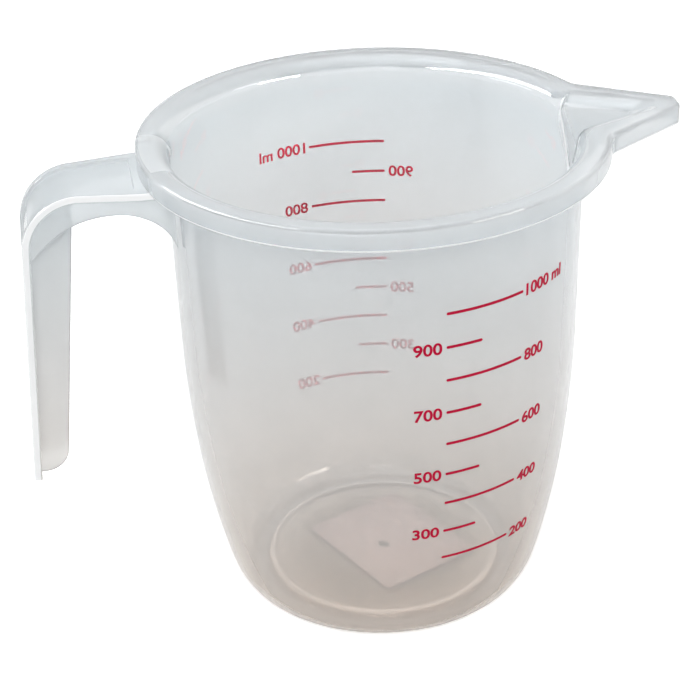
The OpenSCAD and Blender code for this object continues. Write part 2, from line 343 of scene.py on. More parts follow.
def outerBowlRows():
    rows = []
    for i, count in enumerate(bodySheet["arcRows"]):
        t0, t1 = bowl["arcTurns"][i:i + 2]
        rows += [wallPoint(i, lerp(t0, t1, k / count), 0) for k in range(count)]
    straight = wallPoint(lastArc, draftTurn, 0)[1]
    rows += [(draftRadius(z), z) for z in (straight, (straight + bodySheet["splitLow"]) / 2)]
    return skinned(rows, outerSkin)


def innerBowlRows():
    # down the wall, over the groove beside the floor and to the floor's middle
    s, wall, depth, step = bodySheet, bowl["wall"], bowl["recessDepth"], bowl["recessStep"]
    straight = wallPoint(lastArc, draftTurn, wall)[1]
    rows = [(draftRadius(z, wall), z) for z in (lerp(s["splitLow"], straight, t) for t in (0.5, 1))]
    for i, count in reversed(list(enumerate(s["arcRows"]))):
        t0, t1 = bowl["arcTurns"][i:i + 2]
        rows += [wallPoint(i, lerp(t1, t0, (k + 1) / count), wall) for k in range(count)]
    size = math.hypot(step, depth)
    shift = (wall * depth / size, wall * step / size)   # the groove's slope, moved in by the wall
    top = depth + bowl["floor"]
    foot, head = (bowl["recessRadius"] + shift[0] - step * (z - shift[1]) / depth for z in (wall, top))
    rows += bezier((foot + 0.6, wall), (foot, wall), (lerp(foot, head, 0.3), lerp(wall, top, 0.3)), 3)
    # the groove's step gets a lighter, milkier skin: painted light
    ring = bezier((lerp(foot, head, 0.7), lerp(wall, top, 0.7)), (head, top), (head - 0.6, top), 3)
    floor = [(r, top) for r in (head - 1.1, *s["floorRings"])]
    return skinned(rows, innerSkin) + skinned(ring, lightRingSkin) + skinned(floor, floorSkin)


def outerTurnRows(angle):
    # up the wall and the trough's outer face, and over under the flange; the fold between them gets the
    # painted edge highlight
    s, turn, meet = bodySheet, rim["flare"] - rim["thick"], outsideCrease(angle)
    # both lists of heights run down, so they are turned round; the second leaves out the height they share
    up = turnHeights(rimUnder, turn, meet, s["splitLow"], s["lowRows"])[::-1]
    up += turnHeights(rimUnder, turn, rimUnder, meet, s["turnRows"])[-2::-1]
    rows = skinned([(max(outsideWall(z), outsideTrough(angle, z)), z) for z in up], outerSkin)
    above = meet + 0.1
    if outsideTrough(angle, above) > outsideWall(above) and meet < rimUnder - s["creaseTop"]:
        for k in range(s["lowRows"] - s["foldStrips"], s["lowRows"] + s["foldStrips"]):
            rows[k] = (*rows[k][:2], edgeHighlightSkin)
    return rows


def topSkin(angle):
    # frosted, and milky over the handle's root
    away = math.remainder(math.degrees(angle) - 180, 360)
    return rootSkin if -bodySheet["rootBack"] < away < bodySheet["rootFront"] else outerSkin


def skirtRows(angle, start):
    # out under the flange, round the skirt's edge and up to the flange's top
    n, top, corner, fillet = bodySheet["roundRows"], bowl["height"], rim["topRound"], rim["fillet"]
    half, skirtIn, edge = rim["skirtThick"] / 2, outlineRadius(angle, rim["skirtThick"]), []
    under = [(lerp(start, skirtIn - fillet, t), rimUnder) for t in (0.33, 0.66)]
    under += bezier((skirtIn - fillet, rimUnder), (skirtIn, rimUnder), (skirtIn, rimUnder - fillet), 3)
    under.append((skirtIn, lerp(rimUnder, skirtLow + half, 0.6)))
    for turn in (math.pi * k / (2 * n) for k in range(2 * n + 1)):
        inset = half * (1 + math.cos(turn))
        edge.append((outlineRadius(angle, inset), skirtLow + half - half * math.sin(turn)))
    side = [(outlineRadius(angle, 0), lerp(skirtLow + half, top - corner, t)) for t in (0.15, 0.5, 0.9)]
    for turn in (math.pi / 2 * k / n for k in range(n + 1)):
        inset = corner * (1 - math.cos(turn))
        side.append((outlineRadius(angle, inset), top - corner + corner * math.sin(turn)))
    # the skirt's lower rounded edge gets the painted edge highlight
    return (skinned(under + edge[:n], outerSkin) + skinned(edge[n:-1], edgeHighlightSkin)
            + skinned(edge[-1:] + side[:-1], outerSkin) + skinned(side[-1:], topSkin(angle)))


def topRows(angle):
    # the flange's frosted top reaches into the turn, and the ridge beside the trough gets the painted edge
    # highlight
    s, top, flare = bodySheet, bowl["height"], rim["flare"]
    meet, crease, lipRows = insideCrease(angle), s["creaseHalf"], s["lipRows"]
    border = max(top - rim["lipLine"], lerp(top, meet + crease, 0.6))
    lip = turnHeights(top, flare, top, border, lipRows)
    throat = turnHeights(top, flare, border, meet + crease, s["turnRows"] - lipRows)[1:]
    low = turnHeights(top, flare, meet - crease, s["splitLow"], s["lowRows"])
    cavity = [(max(insideWall(z), insideTrough(angle, z)), z) for z in lip + throat + [meet] + low]
    flatEnd = outlineRadius(angle, rim["topRound"])
    flat = [(lerp(flatEnd, cavity[0][0], t), top) for t in (0.08, 0.5, 0.92)]
    throatSkin = ridgeSkin = innerSkin
    above = meet + crease
    if insideTrough(angle, above) > insideWall(above) and meet < top - s["creaseTop"]:
        # one side of the trough's face gets the darker shadedTrough skin: painted shade
        throatSkin, ridgeSkin = troughShadeSkin if angle > s["troughFrost"] else outerSkin, edgeHighlightSkin
    ridge = len(lip + throat) - 1
    return (skinned(flat + cavity[:lipRows], topSkin(angle)) + skinned(cavity[lipRows:ridge], throatSkin)
            + skinned(cavity[ridge:ridge + 2], ridgeSkin) + skinned(cavity[ridge + 2:], innerSkin))


def bodyColumn(angle):
    # section of the sheet at one azimuth, from the gate round to the floor
    column = undersideRows() + outerBowlRows() + outerTurnRows(angle)
    return column + skirtRows(angle, column[-1][0]) + topRows(angle) + innerBowlRows()


def bodyAngles():
    s, angles, a = bodySheet, [], 0.0
    while a < 180:
        angles.append(a)
        a += s["fineStep"] if a < s["fineSpan"] else s["spoutStep"] if a < s["spoutSpan"] else s["wideStep"]
    return sorted({round(x, 4) for x in angles} | {-round(x, 4) for x in angles if x > 0}) + [180.0]


def makeBody():
    angles = [math.radians(a) for a in bodyAngles()]
    columns = [bodyColumn(a) for a in angles]
    verts = [(r * math.cos(a), r * math.sin(a), z)
             for a, column in zip(angles, columns) for r, z, skin in column]
    rows, under, over = len(columns[0]), len(verts), len(verts) + 1
    verts += [(0, 0, bowl["recessDepth"] - bowl["gateHeight"]), (0, 0, bowl["recessDepth"] + bowl["floor"])]
    faces, skinOf = [], []
    for c, column in enumerate(columns):
        here, there = c * rows, (c + 1) % len(columns) * rows
        faces += [(here + k, there + k, there + k + 1, here + k + 1) for k in range(rows - 1)]
        faces += [(under, there, here), (over, here + rows - 1, there + rows - 1)]
        skinOf += [skin for r, z, skin in column[:-1]] + [floorSkin, floorSkin]
    obj = meshObject("mouldedJug", verts, faces)
    giveSkins(obj)
    for p, skin in zip(obj.data.polygons, skinOf):
        p.material_index = skin
    tidyNormals(obj)
    return obj


jug = makeBody()
print("bowl, rim and spout:", len(jug.data.polygons), "faces")

handle = {
    "reach": 99.75, "foot": 49.0, "armWidth": 30.0, "gripWidth": 24.4, "bend": 16.0, "lean": 3.5,
    "spine": 2.2, "rib": 1.8, "armLedge": 0.5, "gripLedge": 4.2,
    "depth": 13.5, "footDepth": 9.9, "corner": 7.0,
    "crownX": 72.4, "crownDepth": 6.1, "archRadius": 15.2, "gussetRadius": 32.0,
    "archEnd": 4.0,   # how far above its centre the arch runs into the wall
    "rail": 3.0, "panelDepth": 0.9, "panelCorner": 2.0, "panelMargin": 1.5, "panelFootMargin": 3.0,
    "panelSlope": 0.35, "edgeRound": 0.45,
    "roundShares": (0.13, 0.38),   # two points of that rounding, as shares of its radius
    # places along the spine where it has a section, in mm: x on the arm, height on the grip, and
    # steps from the panel's two ends, negative into the panel
    "rootStations": (-62, -66.4), "armStations": (-72, -75, -78, -81), "bendSteps": 18,
    "gripStations": (110, 100, 90, 80, 70, 62), "panelSteps": (0.3, 0, -0.35, -0.7, -1.3, -2.0),
    "ribStations": (80, 100, 120), "armBevel": 0.3, "gripBevel": 0.35,
    "plunge": 0.7, "ribPlunge": 0.6,   # how far the arm runs into the wall, and the ribs into the spine
    # how far the root reaches below the skirt and stays inside it, and how much its top falls outwards
    "rootDrop": 1.2, "rootInset": 0.4, "rootFall": 0.2,
    "weld": 0.01,   # mm within which the slivers of the joins are closed
}
bendAt = (handle["bend"] - handle["reach"], skirtLow - handle["bend"])
gripLean = math.radians(handle["lean"])
ribFace = handle["spine"] - handle["ribPlunge"]   # depth at which the ribs start inside the spine
panelStart, panelEnd = -rim["radius"] - handle["panelMargin"], handle["foot"] + handle["panelFootMargin"]


def spineStations():
    # places along the outer face from the wall to the free end, with the outward direction at each
    s = handle
    across = (-draftRadius(skirtLow) + s["plunge"], *s["rootStations"],
              *(panelStart + step for step in s["panelSteps"]), *s["armStations"])
    stations = [(x, skirtLow, 0.0) for x in across]
    for k in range(s["bendSteps"] + 1):
        turn = (math.pi / 2 - gripLean) * k / s["bendSteps"]
        dx, dz = -s["bend"] * math.sin(turn), s["bend"] * math.cos(turn)
        stations.append((bendAt[0] + dx, bendAt[1] + dz, turn))
    x, z, turn = stations[-1]
    down = (*s["gripStations"], *(panelEnd - step for step in reversed(s["panelSteps"])),
            s["foot"] + 0.5, s["foot"])
    return stations + [(x - (z - low) * math.tan(gripLean), low, turn) for low in down]


def armHalf(x):
    t = min(max((-rim["radius"] - x) / (-rim["radius"] - bendAt[0]), 0), 1)
    return (handle["armWidth"] + (handle["gripWidth"] - handle["armWidth"]) * t) / 2


def panelShare(index, stations):
    # how deep the sunk panel is at a station, and how far its corners pull in
    x, z, turn = stations[index]
    start = panelStart - x
    end = z - handle["foot"] - handle["panelFootMargin"]
    run = min(start, end) if turn > 0 else start
    depth = min(max(run / handle["panelSlope"], 0), 1)
    c = handle["panelCorner"]
    pull = c - math.sqrt(max(c * c - (c - min(max(run, 0), c)) ** 2, 0))
    return depth, pull if run < c else 0.0


def makeSpine():
    s, stations, verts = handle, spineStations(), []
    r, thick, (little, much) = s["edgeRound"], s["spine"], s["roundShares"]
    for i, (x, z, turn) in enumerate(stations):
        half = armHalf(x)
        depth, pull = panelShare(i, stations)
        d = s["panelDepth"] * depth
        edge = half - s["rail"] - pull
        border = [(half, thick - r), (half, thick / 2), (half, r),
                  (half - little * r, much * r), (half - much * r, little * r), (half - r, 0)]
        # half the outer face, from the plate's edge over the rail into the sunk panel
        across = border + [(edge + 0.5, 0), (edge + 0.12, 0.0), (edge, 0.12 * depth),
                           (edge - 0.05, 0.6 * d), (edge - 0.2, d), (edge - 1.2, d)]
        back = [(half - r, thick),
                (half - much * r, thick - little * r), (half - little * r, thick - much * r)]
        loop = across + [(-y, w) for y, w in reversed(across)] + [(-y, w) for y, w in reversed(back)]
        loop += [(-half * 0.5, thick), (half * 0.5, thick)] + back
        ox, oz = math.sin(turn), math.cos(turn)
        verts += [(x + w * ox, y, z - w * oz) for y, w in loop]
    ring, lengths, faces = len(loop), len(stations) - 1, []
    for here in range(0, lengths * ring, ring):
        for k in range(ring):
            m = (k + 1) % ring
            faces.append((here + k, here + m, here + ring + m, here + ring + k))
    faces += [tuple(range(ring)), tuple(reversed(range(len(verts) - ring, len(verts))))]
    obj = meshObject("spinePlate", verts, faces)
    giveSkins(obj)
    # the strips of the loop that form the plate's two edges, which get the painted edge highlight
    last = 2 * len(across) - 1
    highlightStrips = {*range(len(border) - 1), *range(last - len(border) + 1, last)}
    for i, p in enumerate(obj.data.polygons):
        p.material_index = edgeHighlightSkin if i < lengths * ring and i % ring in highlightStrips else gripSkin
    tidyNormals(obj)
    return obj


def arc(cx, cz, r, a0, a1, steps):
    turns = [math.radians(a0 + (a1 - a0) * k / steps) for k in range(steps + 1)]
    return [(cx + r * math.cos(t), cz + r * math.sin(t)) for t in turns]


def makeRibs(name, outline, outerAt, bevel):
    # a pair of upright plates: outline in x and z, with their outer faces at outerAt(x) on each side
    n, ribs = len(outline), []
    faces = [(k, (k + 1) % n, n + (k + 1) % n, n + k) for k in range(n)]
    faces += [tuple(reversed(range(n))), tuple(range(n, 2 * n))]
    for side in (1, -1):
        verts = [(x, side * (outerAt(x) - depth), z) for depth in (0, handle["rib"]) for x, z in outline]
        obj = meshObject(name, verts, faces)
        giveSkins(obj)
        for p in obj.data.polygons:
            p.material_index = gripSkin
        tidyNormals(obj)
        bm = bmesh.new()
        bm.from_mesh(obj.data)
        # only the borders of the two faces are rounded
        borders = [e for e in bm.edges
                   if len(e.link_faces) == 2 and any(len(f.verts) > 4 for f in e.link_faces)]
        bmesh.ops.bevel(bm, geom=borders, offset=bevel * mm, segments=3, profile=0.5, affect="EDGES",
                        clamp_overlap=True)
        bm.to_mesh(obj.data)
        bm.free()
        ribs.append(obj)
    return ribs


def faceX(z, inset):
    # x of the handle's outer face at height z, moved in by inset
    top = skirtLow - inset
    if z >= top:
        return bendAt[0]
    corner = bendAt[1] + (handle["bend"] - inset) * math.sin(gripLean)
    if z > corner:
        return bendAt[0] - math.sqrt((handle["bend"] - inset) ** 2 - (z - bendAt[1]) ** 2)
    return bendAt[0] - (handle["bend"] - inset) * math.cos(gripLean) - (corner - z) * math.tan(gripLean)


def outerBend():
    # the ribs' border inside the spine's bend
    return arc(bendAt[0], bendAt[1], handle["bend"] - ribFace, 90, 180 - handle["lean"], steps=16)


def makeArmRibs():
    s = handle
    crown = (-s["crownX"], skirtLow - s["crownDepth"])

    def wallX(z):
        return -draftRadius(z) + s["plunge"]
    # arch on the bowl's side, down to the wall
    radius, cz = s["archRadius"], crown[1] - s["archRadius"]
    bowlSide = [p for p in arc(crown[0], cz, radius, 90, 0, steps=20) if p[0] < wallX(p[1])]
    endX = wallX(cz + s["archEnd"])
    bowlSide.append((endX, cz + math.sqrt(max(radius ** 2 - (endX - crown[0]) ** 2, 0))))
    # arch on the grip's side, down to the spine
    gz = crown[1] - s["gussetRadius"]
    gripSide = [p for p in arc(crown[0], gz, s["gussetRadius"], 90, 180, steps=40)
                if p[0] > faceX(p[1], ribFace)]
    top = skirtLow - ribFace
    outer = [(wallX(top), top), (bendAt[0], top)] + [p for p in outerBend()[1:] if p[1] > gripSide[-1][1]]
    outline = bowlSide[::-1][:-1] + gripSide + outer[::-1]
    return makeRibs("armRib", outline, lambda x: armHalf(x) - s["armLedge"], s["armBevel"])


def makeGripRibs():
    s = handle
    lowX = faceX(s["foot"], 0) + s["footDepth"]
    slope = (faceX(bendAt[1], 0) + s["depth"] - lowX) / (bendAt[1] - s["foot"])
    tilt = math.degrees(math.atan(slope))

    def slopeX(z):
        return lowX + (z - s["foot"]) * slope
    r = s["corner"]
    cx, cz = lowX + r * slope - r / math.cos(math.radians(tilt)), s["foot"] + r
    high = skirtLow - ribFace
    outline = [(faceX(s["foot"], ribFace), s["foot"])] + arc(cx, cz, r, -90, -tilt, steps=12)
    outline += [(slopeX(z), z) for z in (*s["ribStations"], high)]
    outline += [p for p in outerBend() if p[0] < slopeX(high)]
    return makeRibs("gripRib", outline, lambda x: s["gripWidth"] / 2 - s["gripLedge"], s["gripBevel"])


def makeRoot():
    # solid between the wall and the skirt, up into the middle of the turned-over wall
    s = handle
    half = s["armWidth"] / 2 - s["armLedge"]
    low, steps, turnSteps = skirtLow - s["rootDrop"], 16, 5
    midTurn = rim["flare"] - bowl["wall"] / 2
    centre = (draftRadius(bowl["height"], bowl["wall"]) + rim["flare"], bowl["height"] - rim["flare"])
    section = [(centre[0] - midTurn, low)]
    section += [(centre[0] - midTurn * math.cos(t), centre[1] + midTurn * math.sin(t))
                for t in (math.pi / 2 * k / turnSteps for k in range(turnSteps + 1))]
    outer = rim["radius"] - s["rootInset"]
    section += [(outer, section[-1][1] - s["rootFall"]), (outer, low)]
    n = len(section)
    verts = []
    for k in range(steps + 1):
        y = -half + 2 * half * k / steps
        verts += [(-math.sqrt(r * r - y * y), y, z) for r, z in section]
    faces = [(k * n + i, k * n + (i + 1) % n, (k + 1) * n + (i + 1) % n, (k + 1) * n + i)
             for k in range(steps) for i in range(n)]
    faces += [tuple(range(n)), tuple(range(steps * n, (steps + 1) * n))]
    obj = meshObject("handleRoot", verts, faces)
    giveSkins(obj)
    tidyNormals(obj)
    return obj


def meshFrom(obj):
    return bpy.data.meshes.new_from_object(obj.evaluated_get(bpy.context.evaluated_depsgraph_get()))


def joinInto(obj, parts):
    for p in parts:
        m = obj.modifiers.new("join", "BOOLEAN")
        m.operation, m.solver, m.object = "UNION", "EXACT", p
        bpy.context.view_layer.update()
        joined = meshFrom(obj)
        obj.modifiers.clear()
        obj.data = joined
        bpy.data.objects.remove(p)
    # weld the slivers that the joins leave
    bm = bmesh.new()
    bm.from_mesh(obj.data)
    bmesh.ops.remove_doubles(bm, verts=bm.verts, dist=handle["weld"] * mm)
    bmesh.ops.dissolve_degenerate(bm, edges=bm.edges, dist=handle["weld"] * mm)
    bm.to_mesh(obj.data)
    bm.free()


joinInto(jug, [makeSpine(), *makeArmRibs(), *makeGripRibs(), makeRoot()])
smoothByAngle(jug, bodySheet["smooth"])
print("handle joined:", len(jug.data.polygons), "faces")
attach(jug, "root")
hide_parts("bowl", "rim_flange", "pour_spout", "handle")

marks = {
    "size": 4.85, "bold": 0.022, "widen": 1.1, "ink": 0.1, "sunk": 0.02, "gap": 1.6,
    "first": 1000, "step": 100, "count": 9, "pitch": 10.05,
    "lineWidth": 0.8, "longLine": 23.0, "shortLine": 9.6,   # mm, then degrees
    "lineStep": 0.8, "capTurn": 18,   # mm along a line and degrees round its ends
    # left ends of the lines, in degrees from the spout, and height of the first line
    "scales": {"front": (-82.2, 113.25), "back": (76.6, 114.95)},
}


def wrapOnWall(obj, startAngle, height, shift=0.0):
    # bends flat figures round the wall, a film thick
    for v in obj.data.vertices:
        z = height + v.co.y
        reach = wallRadius(z) + (marks["ink"] if v.co.z > 0 else -marks["sunk"])
        a = math.radians(startAngle) + (v.co.x + shift) / wallRadius(height)
        v.co = Vector((reach * math.cos(a), reach * math.sin(a), z)) * mm


def finishMark(obj):
    tidyNormals(obj)
    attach(obj, "root")
    return obj


def makeNumeral(name, text, angle, height, alignRight):
    curve = bpy.data.curves.new(name, "FONT")
    curve.body = text
    curve.size = marks["size"]
    curve.offset = marks["bold"] * marks["size"]
    curve.extrude = 0.5   # only tells the two faces apart; the film's depth comes from wrapOnWall
    curve.align_y = "CENTER"
    flat = bpy.data.objects.new(name, curve)
    bpy.context.scene.collection.objects.link(flat)
    bpy.context.view_layer.update()
    mesh = meshFrom(flat)
    bpy.data.objects.remove(flat)
    obj = bpy.data.objects.new(name, mesh)
    bpy.context.scene.collection.objects.link(obj)
    ys = [v.co.y for v in mesh.vertices]
    for v in mesh.vertices:
        v.co.x *= marks["widen"]
        v.co.y -= (max(ys) + min(ys)) / 2
    xs = [v.co.x for v in mesh.vertices]
    wrapOnWall(obj, angle, height, -max(xs) if alignRight else -min(xs))
    return finishMark(obj)


def makeLine(name, angle, span, height):
    # a printed line with round ends, in short steps so that it follows the wall
    half, length = marks["lineWidth"] / 2, math.radians(span) * wallRadius(height)
    turns = [math.radians(t) for t in range(0, 90, marks["capTurn"])]
    cap = [(-half * math.cos(t), half * math.sin(t)) for t in turns]
    steps = max(int(length / marks["lineStep"]), 4)
    upper = cap + [(length * k / steps, half) for k in range(steps + 1)]
    upper += [(length - x, y) for x, y in reversed(cap)]
    lower = [(x, -y) for x, y in upper[1:-1]]
    verts = [(x, y, depth) for depth in (1, -1) for x, y in upper + lower]
    faces, n, m = [], len(upper), len(lower)
    for base, flip in ((0, 1), (n + m, -1)):
        rows = [(base + k, base + k + 1, base + n + k, base + n + k - 1) for k in range(1, n - 2)]
        rows += [(base, base + 1, base + n), (base + n - 2, base + n - 1, base + n + m - 1)]
        faces += [f[::flip] for f in rows]
    border = list(range(n)) + [n + k for k in reversed(range(m))]
    faces += [(a, a + n + m, b + n + m, b) for a, b in zip(border, border[1:] + border[:1])]
    obj = meshObject(name, verts, faces, 1)
    wrapOnWall(obj, angle, height)
    return finishMark(obj)


printed = []
for scaleName, (start, top) in marks["scales"].items():
    for i in range(marks["count"]):
        value = marks["first"] - marks["step"] * i
        z = top - marks["pitch"] * i
        gap = math.degrees(marks["gap"] / wallRadius(z))
        span = marks["longLine"] if i % 2 == 0 else marks["shortLine"]
        line = makeLine(f"{scaleName}Line{value}", start, span, z)
        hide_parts(f"{scaleName}_mark_{value}")
        printed.append(line)
        if i % 2 == 0:
            text = f"{value} ml" if i == 0 else str(value)
            angle, right = start + span + gap, False
        else:
            text, angle, right = str(value), start - gap, True
        printed.append(makeNumeral(f"{scaleName}Numeral{value}", text, angle, z, right))
print("printed pieces:", len(printed))

label = {
    "length": 41.5, "width": 34.0, "thick": 0.15, "turn": -64.0, "centre": (3.2, 2.9), "corner": 0.8,
    "hole": 2.0, "sunk": 0.02, "rings": 8, "spokes": 64,
}


def labelBorder():
    # outer border of the sheet, with its corners rounded
    s, turn, points = label, math.radians(label["turn"]), []
    hx, hy = s["length"] / 2, s["width"] / 2
    cx, cy = hx - s["corner"], hy - s["corner"]
    for a in (2 * math.pi * k / s["spokes"] for k in range(s["spokes"])):
        t = min(hx / max(abs(math.cos(a)), 1e-6), hy / max(abs(math.sin(a)), 1e-6))
        x, y = t * math.cos(a), t * math.sin(a)
        if abs(x) > cx and abs(y) > cy:
            d = math.hypot(abs(x) - cx, abs(y) - cy)
            x = math.copysign(cx + (abs(x) - cx) * s["corner"] / d, x)
            y = math.copysign(cy + (abs(y) - cy) * s["corner"] / d, y)
        points.append((s["centre"][0] + x * math.cos(turn) - y * math.sin(turn),
                       s["centre"][1] + x * math.sin(turn) + y * math.cos(turn)))
    return points


def makeLabel():
    # paper stuck under the floor, in rings that close in on a hole for the gate stub
    s, flat, faces = label, [], []
    count, top = s["spokes"], bowl["recessDepth"] + s["sunk"]
    border = labelBorder()
    for share in (ring / s["rings"] for ring in range(s["rings"] + 1)):
        for x, y in border:
            toHole = math.atan2(y, x)
            flat.append((x + (s["hole"] * math.cos(toHole) - x) * share,
                         y + (s["hole"] * math.sin(toHole) - y) * share))
    verts = [(x, y, z) for z in (top, top - s["thick"]) for x, y in flat]
    half = len(flat)
    for r in range(s["rings"]):
        for k in range(count):
            a, b = r * count + k, r * count + (k + 1) % count
            faces.append((a, b, b + count, a + count))
            faces.append((half + a, half + a + count, half + b + count, half + b))
    for r in (0, s["rings"]):
        for k in range(count):
            a, b = r * count + k, r * count + (k + 1) % count
            faces.append((a, a + half, b + half, b))
    obj = meshObject("baseLabel", verts, faces)
    tidyNormals(obj)
    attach(obj, "root")
    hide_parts("base_label")
    return obj


paperLabel = makeLabel()

plastic = {
    # tint by height in m: warm and darker in the thick heel, cool and lighter at the rim; partly the heel's
    # own thickness, partly painted shade near the floor and painted cool light from above
    "tintsAndPaintedLight": ((0.0, (0.74, 0.68, 0.63)), (0.009, (0.825, 0.757, 0.7)), (0.045, (0.85, 0.83, 0.81)),
              (0.08, (0.848, 0.846, 0.844)), (0.134, (0.806, 0.844, 0.866)),
              (0.1425, (0.86, 0.882, 0.897))),
    "tintTop": 0.143, "brightest": 0.99,
    # how clear each skin is, and how much lighter than the tint; the haze sits in the outer skin,
    # so ink and paper on it show clearly from inside
    # the groove ring's lift above 1 is painted light, and the trough's lift below 1 is painted shade
    "skins": {"frostedOuter": (0.66, 1.0), "clearInner": (0.95, 1.0), "milkyRoot": (0.42, 1.03),
              "gripFrost": (0.5, 1.05), "paintedLightRing": (0.15, 1.12), "shadedTrough": (0.95, 0.8),
              "clearFloor": (0.95, 1.17)},
    "cloud": 0.965, "cloudScale": 60.0, "cloudContrast": 1.6, "rough": (0.015, 0.04), "roughScale": 90.0,
    "refraction": 1.49,
    "edgeClear": 0.05, "edgeHighlightColour": (0.97, 0.975, 0.98, 1), "edgeHighlightDim": (0.93, 0.945, 0.96, 1),
    "edgeRough": (0.1, 0.2), "coat": 0.5, "coatRough": 0.05,
}
inkLook = {
    "colour": (0.44, 0.0, 0.03, 1), "worn": (0.5, 0.005, 0.042, 1), "back": (0.84, 0.012, 0.062, 1),
    "rough": (0.45, 0.57), "gloss": 0.1, "speckScale": 900.0, "speckContrast": 2.5,
}
paperLook = {
    "colour": (1.0, 0.86, 0.86, 1), "shade": (0.99, 0.83, 0.83, 1), "shadeScale": 140.0,
    "rough": 0.8, "fibreScale": 1800.0, "fibreStrength": 0.5, "fibreDepth": 0.00003,   # m
}


def linkTo(tree, socket, given):
    # joins the socket to another one, or gives it a plain value
    if isinstance(given, bpy.types.NodeSocket):
        tree.links.new(given, socket)
    else:
        socket.default_value = given


def mathNode(tree, operation, a, b, clamp=False):
    node = tree.nodes.new("ShaderNodeMath")
    node.operation, node.use_clamp = operation, clamp
    linkTo(tree, node.inputs[0], a)
    linkTo(tree, node.inputs[1], b)
    return node.outputs[0]


def mixNode(tree, share, a, b, blend="MIX"):
    # mixes two colours, or two numbers
    node = tree.nodes.new("ShaderNodeMix")
    if isinstance(b, float):
        node.data_type = "FLOAT"
    else:
        node.data_type, node.blend_type = "RGBA", blend
    sockets = [s for s in node.inputs if s.enabled]
    for socket, given in zip(sockets, (share, a, b)):
        linkTo(tree, socket, given)
    return [s for s in node.outputs if s.enabled][0]


def blotchGroup():
    # a soft cloudy mask from 0 to 1 over the surface
    g = bpy.data.node_groups.new("softBlotches", "ShaderNodeTree")
    g.interface.new_socket("Scale", in_out="INPUT", socket_type="NodeSocketFloat")
    g.interface.new_socket("Contrast", in_out="INPUT", socket_type="NodeSocketFloat")
    g.interface.new_socket("Mask", in_out="OUTPUT", socket_type="NodeSocketFloat")
    n, l = g.nodes, g.links
    given, put = n.new("NodeGroupInput"), n.new("NodeGroupOutput")
    place, noise = n.new("ShaderNodeTexCoord"), n.new("ShaderNodeTexNoise")
    noise.inputs["Detail"].default_value = 3
    l.new(place.outputs["Object"], noise.inputs["Vector"])
    l.new(given.outputs["Scale"], noise.inputs["Scale"])
    centred = mathNode(g, "SUBTRACT", noise.outputs["Fac"], 0.5)
    stretched = mathNode(g, "MULTIPLY", centred, given.outputs["Contrast"])
    l.new(mathNode(g, "ADD", stretched, 0.5, clamp=True), put.inputs["Mask"])
    return g


blotches = blotchGroup()


def newMaterial(name):
    # a material with nothing but a Principled shader
    m = bpy.data.materials.get(name) or bpy.data.materials.new(name)
    m.use_nodes = True
    n = m.node_tree.nodes
    n.clear()
    shader, out = n.new("ShaderNodeBsdfPrincipled"), n.new("ShaderNodeOutputMaterial")
    m.node_tree.links.new(shader.outputs[0], out.inputs["Surface"])
    return m, shader


def blotchMask(tree, scale, contrast):
    # the shared mask, at this scale and contrast
    mask = tree.nodes.new("ShaderNodeGroup")
    mask.node_tree = blotches
    mask.inputs["Scale"].default_value, mask.inputs["Contrast"].default_value = scale, contrast
    return mask.outputs["Mask"]


def mottle(tree, shader, socket, ends, scale, contrast=2):
    # lets a value of the shader wander between two ends
    linkTo(tree, shader.inputs[socket], mixNode(tree, blotchMask(tree, scale, contrast), *ends))


def fineBump(tree, shader, scale, strength, depth):
    n, l = tree.nodes, tree.links
    place, noise, bump = n.new("ShaderNodeTexCoord"), n.new("ShaderNodeTexNoise"), n.new("ShaderNodeBump")
    noise.inputs["Scale"].default_value = scale
    bump.inputs["Strength"].default_value, bump.inputs["Distance"].default_value = strength, depth
    l.new(place.outputs["Object"], noise.inputs["Vector"])
    l.new(noise.outputs["Fac"], bump.inputs["Height"])
    l.new(bump.outputs["Normal"], shader.inputs["Normal"])


def makePlastic(name, clear, lift):
    m, shader = newMaterial(name)
    tree, p = m.node_tree, plastic
    n, l = tree.nodes, tree.links
    place, split = n.new("ShaderNodeTexCoord"), n.new("ShaderNodeSeparateXYZ")
    level, ramp = n.new("ShaderNodeMapRange"), n.new("ShaderNodeValToRGB")
    level.inputs["From Max"].default_value = p["tintTop"]
    l.new(place.outputs["Object"], split.inputs[0])
    l.new(split.outputs["Z"], level.inputs["Value"])
    l.new(level.outputs["Result"], ramp.inputs["Fac"])
    # colour by height: partly painted shade low down and painted cool light near the rim
    stops = ramp.color_ramp.elements
    for i, (height, colour) in enumerate(p["tintsAndPaintedLight"]):
        stop = stops[i] if i < 2 else stops.new(1)   # the ramp starts with two stops
        stop.position = height / p["tintTop"]
        stop.color = (*(min(c * lift, p["brightest"]) for c in colour), 1)
    # faint clouds, as in any thin moulding
    mask = blotchMask(tree, p["cloudScale"], p["cloudContrast"])
    cloudy = mixNode(tree, mask, (1, 1, 1, 1), (p["cloud"],) * 3 + (1,))
    l.new(mixNode(tree, 1.0, ramp.outputs["Color"], cloudy, "MULTIPLY"), shader.inputs["Base Color"])
    mottle(tree, shader, "Roughness", p["rough"], p["roughScale"])
    shader.inputs["IOR"].default_value = p["refraction"]
    shader.inputs["Transmission Weight"].default_value = clear


def makeEdge():
    # painted highlight: rounded borders get a whiter, less clear colour that stands in for the light they
    # gather
    m, shader = newMaterial("paintedEdgeHighlight")
    tree, p = m.node_tree, plastic
    mottle(tree, shader, "Base Color", (p["edgeHighlightColour"], p["edgeHighlightDim"]), p["cloudScale"])
    mottle(tree, shader, "Roughness", p["edgeRough"], p["roughScale"])
    shader.inputs["IOR"].default_value = p["refraction"]
    shader.inputs["Transmission Weight"].default_value = p["edgeClear"]
    shader.inputs["Coat Weight"].default_value = p["coat"]
    shader.inputs["Coat Roughness"].default_value = p["coatRough"]


